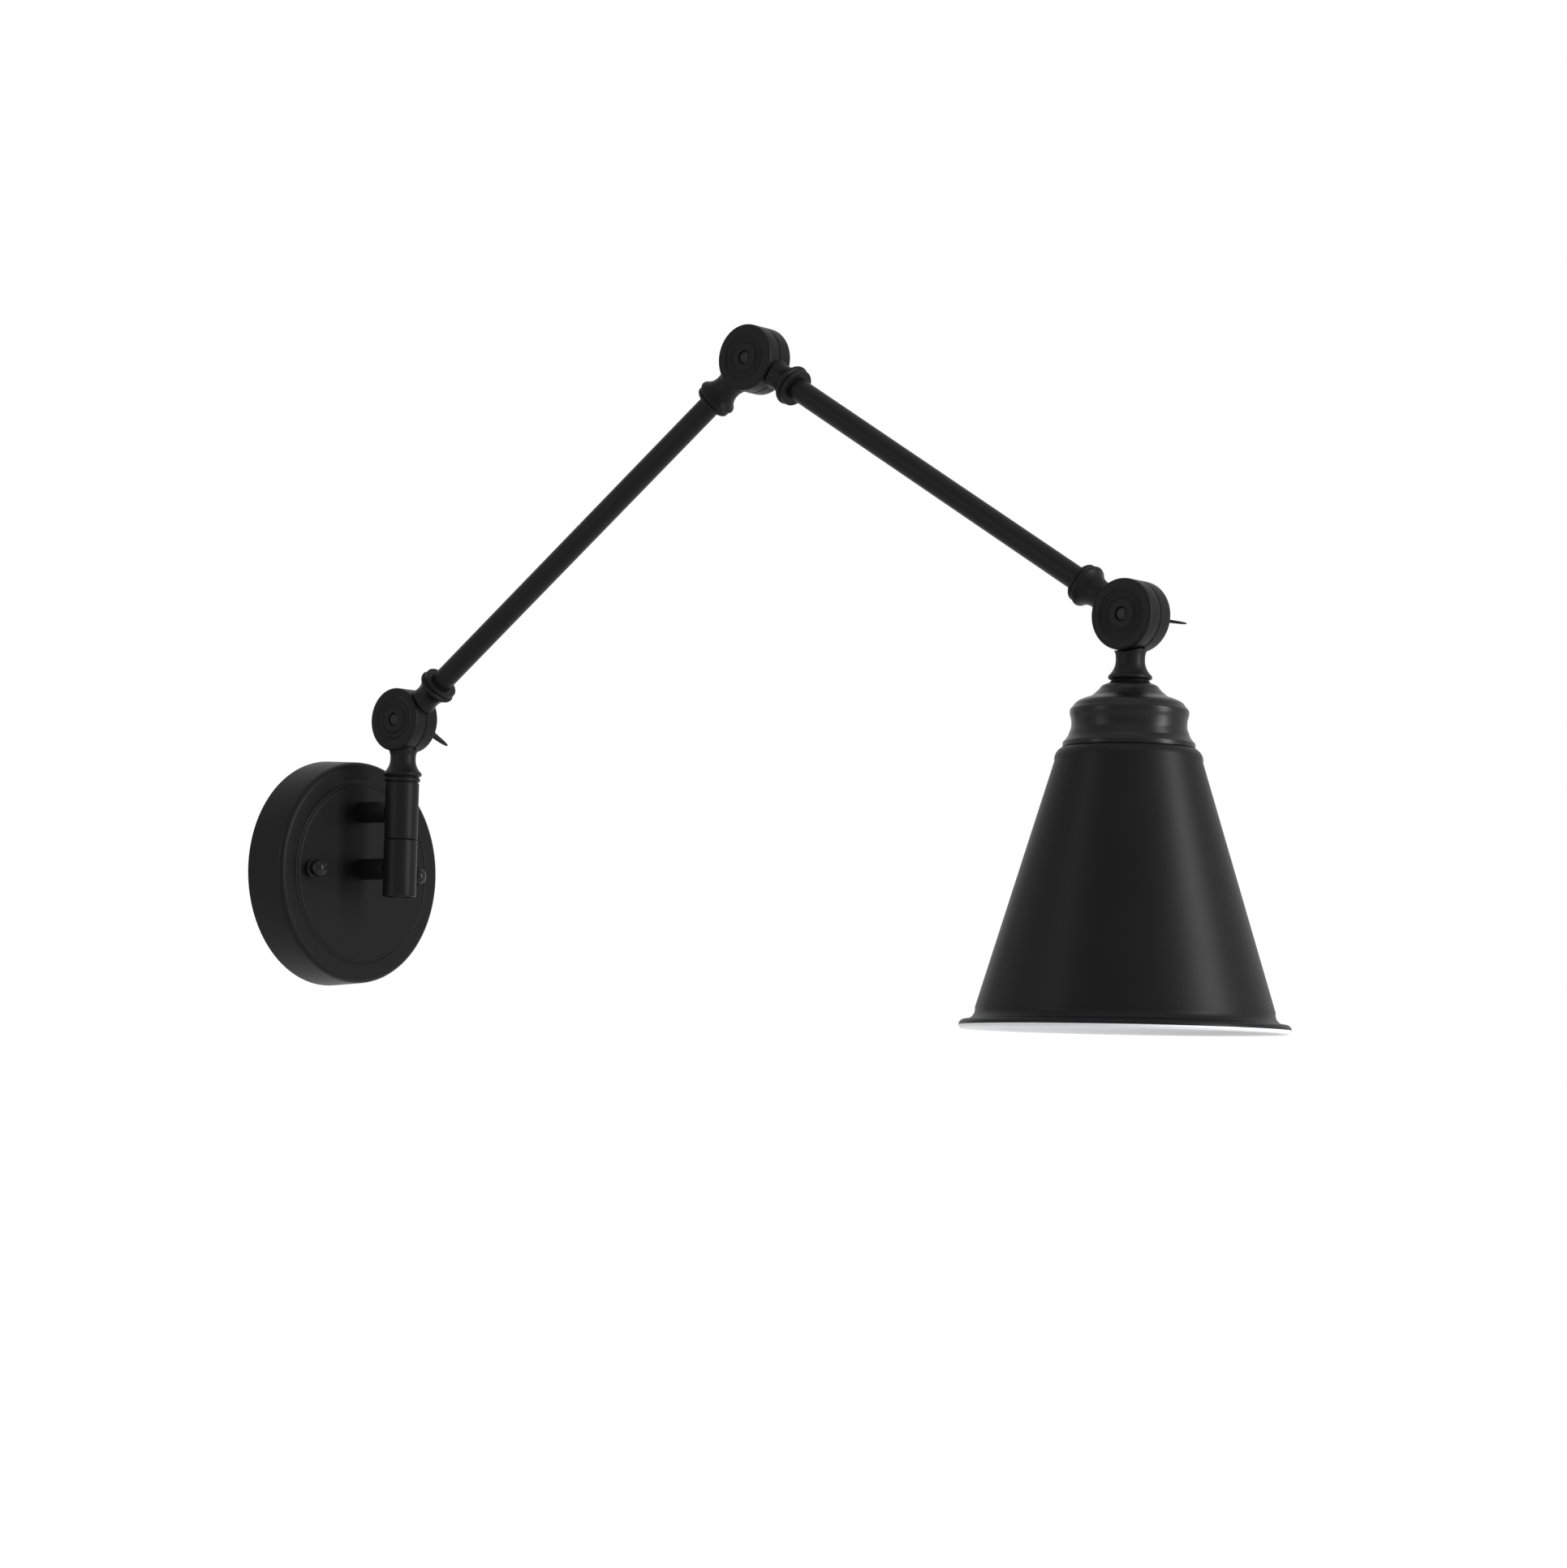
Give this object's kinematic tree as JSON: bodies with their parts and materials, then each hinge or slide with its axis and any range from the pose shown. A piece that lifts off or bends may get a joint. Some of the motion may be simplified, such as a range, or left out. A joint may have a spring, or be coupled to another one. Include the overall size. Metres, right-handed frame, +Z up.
{
  "type": "articulating wall lamp",
  "caption": "Wall lamp with a two-section folding arm, knuckle joints locked by wing nuts and a conical metal shade.",
  "frame": {"origin": "centre of the mounting plate's back, on the wall", "axes": "-Y out of the wall, +Z up, +X to the right of someone who faces the wall"},
  "size_m": [0.1602, 0.6243, 0.3691],
  "materials": {
    "black_coat": "satin",
    "shade_coat": "satin",
    "zinc_steel": "satin",
    "brass": "satin",
    "black_resin": "gloss",
    "fibre": "matt"
  },
  "bodies": {
    "wall_mount": {"mounting_plate": "zinc_steel", "canopy": "black_coat", "canopy_screw_left": "zinc_steel", "canopy_screw_right": "zinc_steel", "cap_nut_left": "black_coat", "cap_nut_right": "black_coat", "lower_post": "black_coat", "upper_post": "black_coat", "lower_post_washer": "zinc_steel", "upper_post_washer": "zinc_steel", "lower_post_nut": "zinc_steel", "upper_post_nut": "zinc_steel", "lower_barrel": "black_coat", "upper_barrel": "black_coat", "barrel_spacer": "black_coat", "barrel_plug": "black_coat"},
    "swivel": {"pivot_stem": "zinc_steel", "stem_washer": "zinc_steel", "stem_nut": "zinc_steel", "swivel_washer": "black_coat", "wall_knuckle_front": "black_coat", "wall_screw": "black_coat", "wall_friction_washer": "fibre", "wall_wing_washer": "black_coat"},
    "lower_arm": {"wall_knuckle_back": "black_coat", "lower_tube": "black_coat", "elbow_front": "black_coat", "elbow_screw": "black_coat", "elbow_friction_washer": "fibre", "elbow_wing_washer": "black_coat"},
    "upper_arm": {"elbow_back": "black_coat", "upper_tube": "black_coat", "head_knuckle_front": "black_coat", "head_screw": "black_coat", "head_friction_washer": "fibre", "head_wing_washer": "black_coat"},
    "shade_head": {"head_knuckle_back": "black_coat", "nipple": "zinc_steel", "nipple_nut": "zinc_steel", "shade_cap": "black_coat", "shade": "shade_coat", "shade_ring": "black_resin", "lampholder": "black_resin", "screw_shell": "brass", "shell_seat": "black_resin", "centre_contact": "brass"},
    "wall_wing": {"wall_wing_nut": "black_coat"},
    "elbow_wing": {"elbow_wing_nut": "black_coat"},
    "head_wing": {"head_wing_nut": "black_coat"}
  },
  "joints": [
    {"name": "arm_swivel", "type": "hinge", "parent": "wall_mount", "child": "swivel", "pos_m": [0, -0.0552, 0.0497], "axis": [0, 0, 1], "range_deg": [-90, 90]},
    {"name": "wall_knuckle", "type": "hinge", "parent": "swivel", "child": "lower_arm", "pos_m": [0, -0.0552, 0.0847], "axis": [-1, 0, 0], "range_deg": [-70, 58]},
    {"name": "elbow_knuckle", "type": "hinge", "parent": "lower_arm", "child": "upper_arm", "pos_m": [0, -0.30335, 0.2646], "axis": [1, 0, 0], "range_deg": [-90, 58]},
    {"name": "head_knuckle", "type": "hinge", "parent": "upper_arm", "child": "shade_head", "pos_m": [0, -0.54422, 0.1149], "axis": [-1, 0, 0], "range_deg": [-65, 110]},
    {"name": "wall_wing_turn", "type": "hinge", "parent": "swivel", "child": "wall_wing", "pos_m": [0.012, -0.0552, 0.0847], "axis": [1, 0, 0], "range_deg": [0, 360]},
    {"name": "elbow_wing_turn", "type": "hinge", "parent": "lower_arm", "child": "elbow_wing", "pos_m": [0.012, -0.30335, 0.2646], "axis": [1, 0, 0], "range_deg": [0, 360]},
    {"name": "head_wing_turn", "type": "hinge", "parent": "upper_arm", "child": "head_wing", "pos_m": [0.012, -0.54422, 0.1149], "axis": [1, 0, 0], "range_deg": [0, 360]}
  ]
}
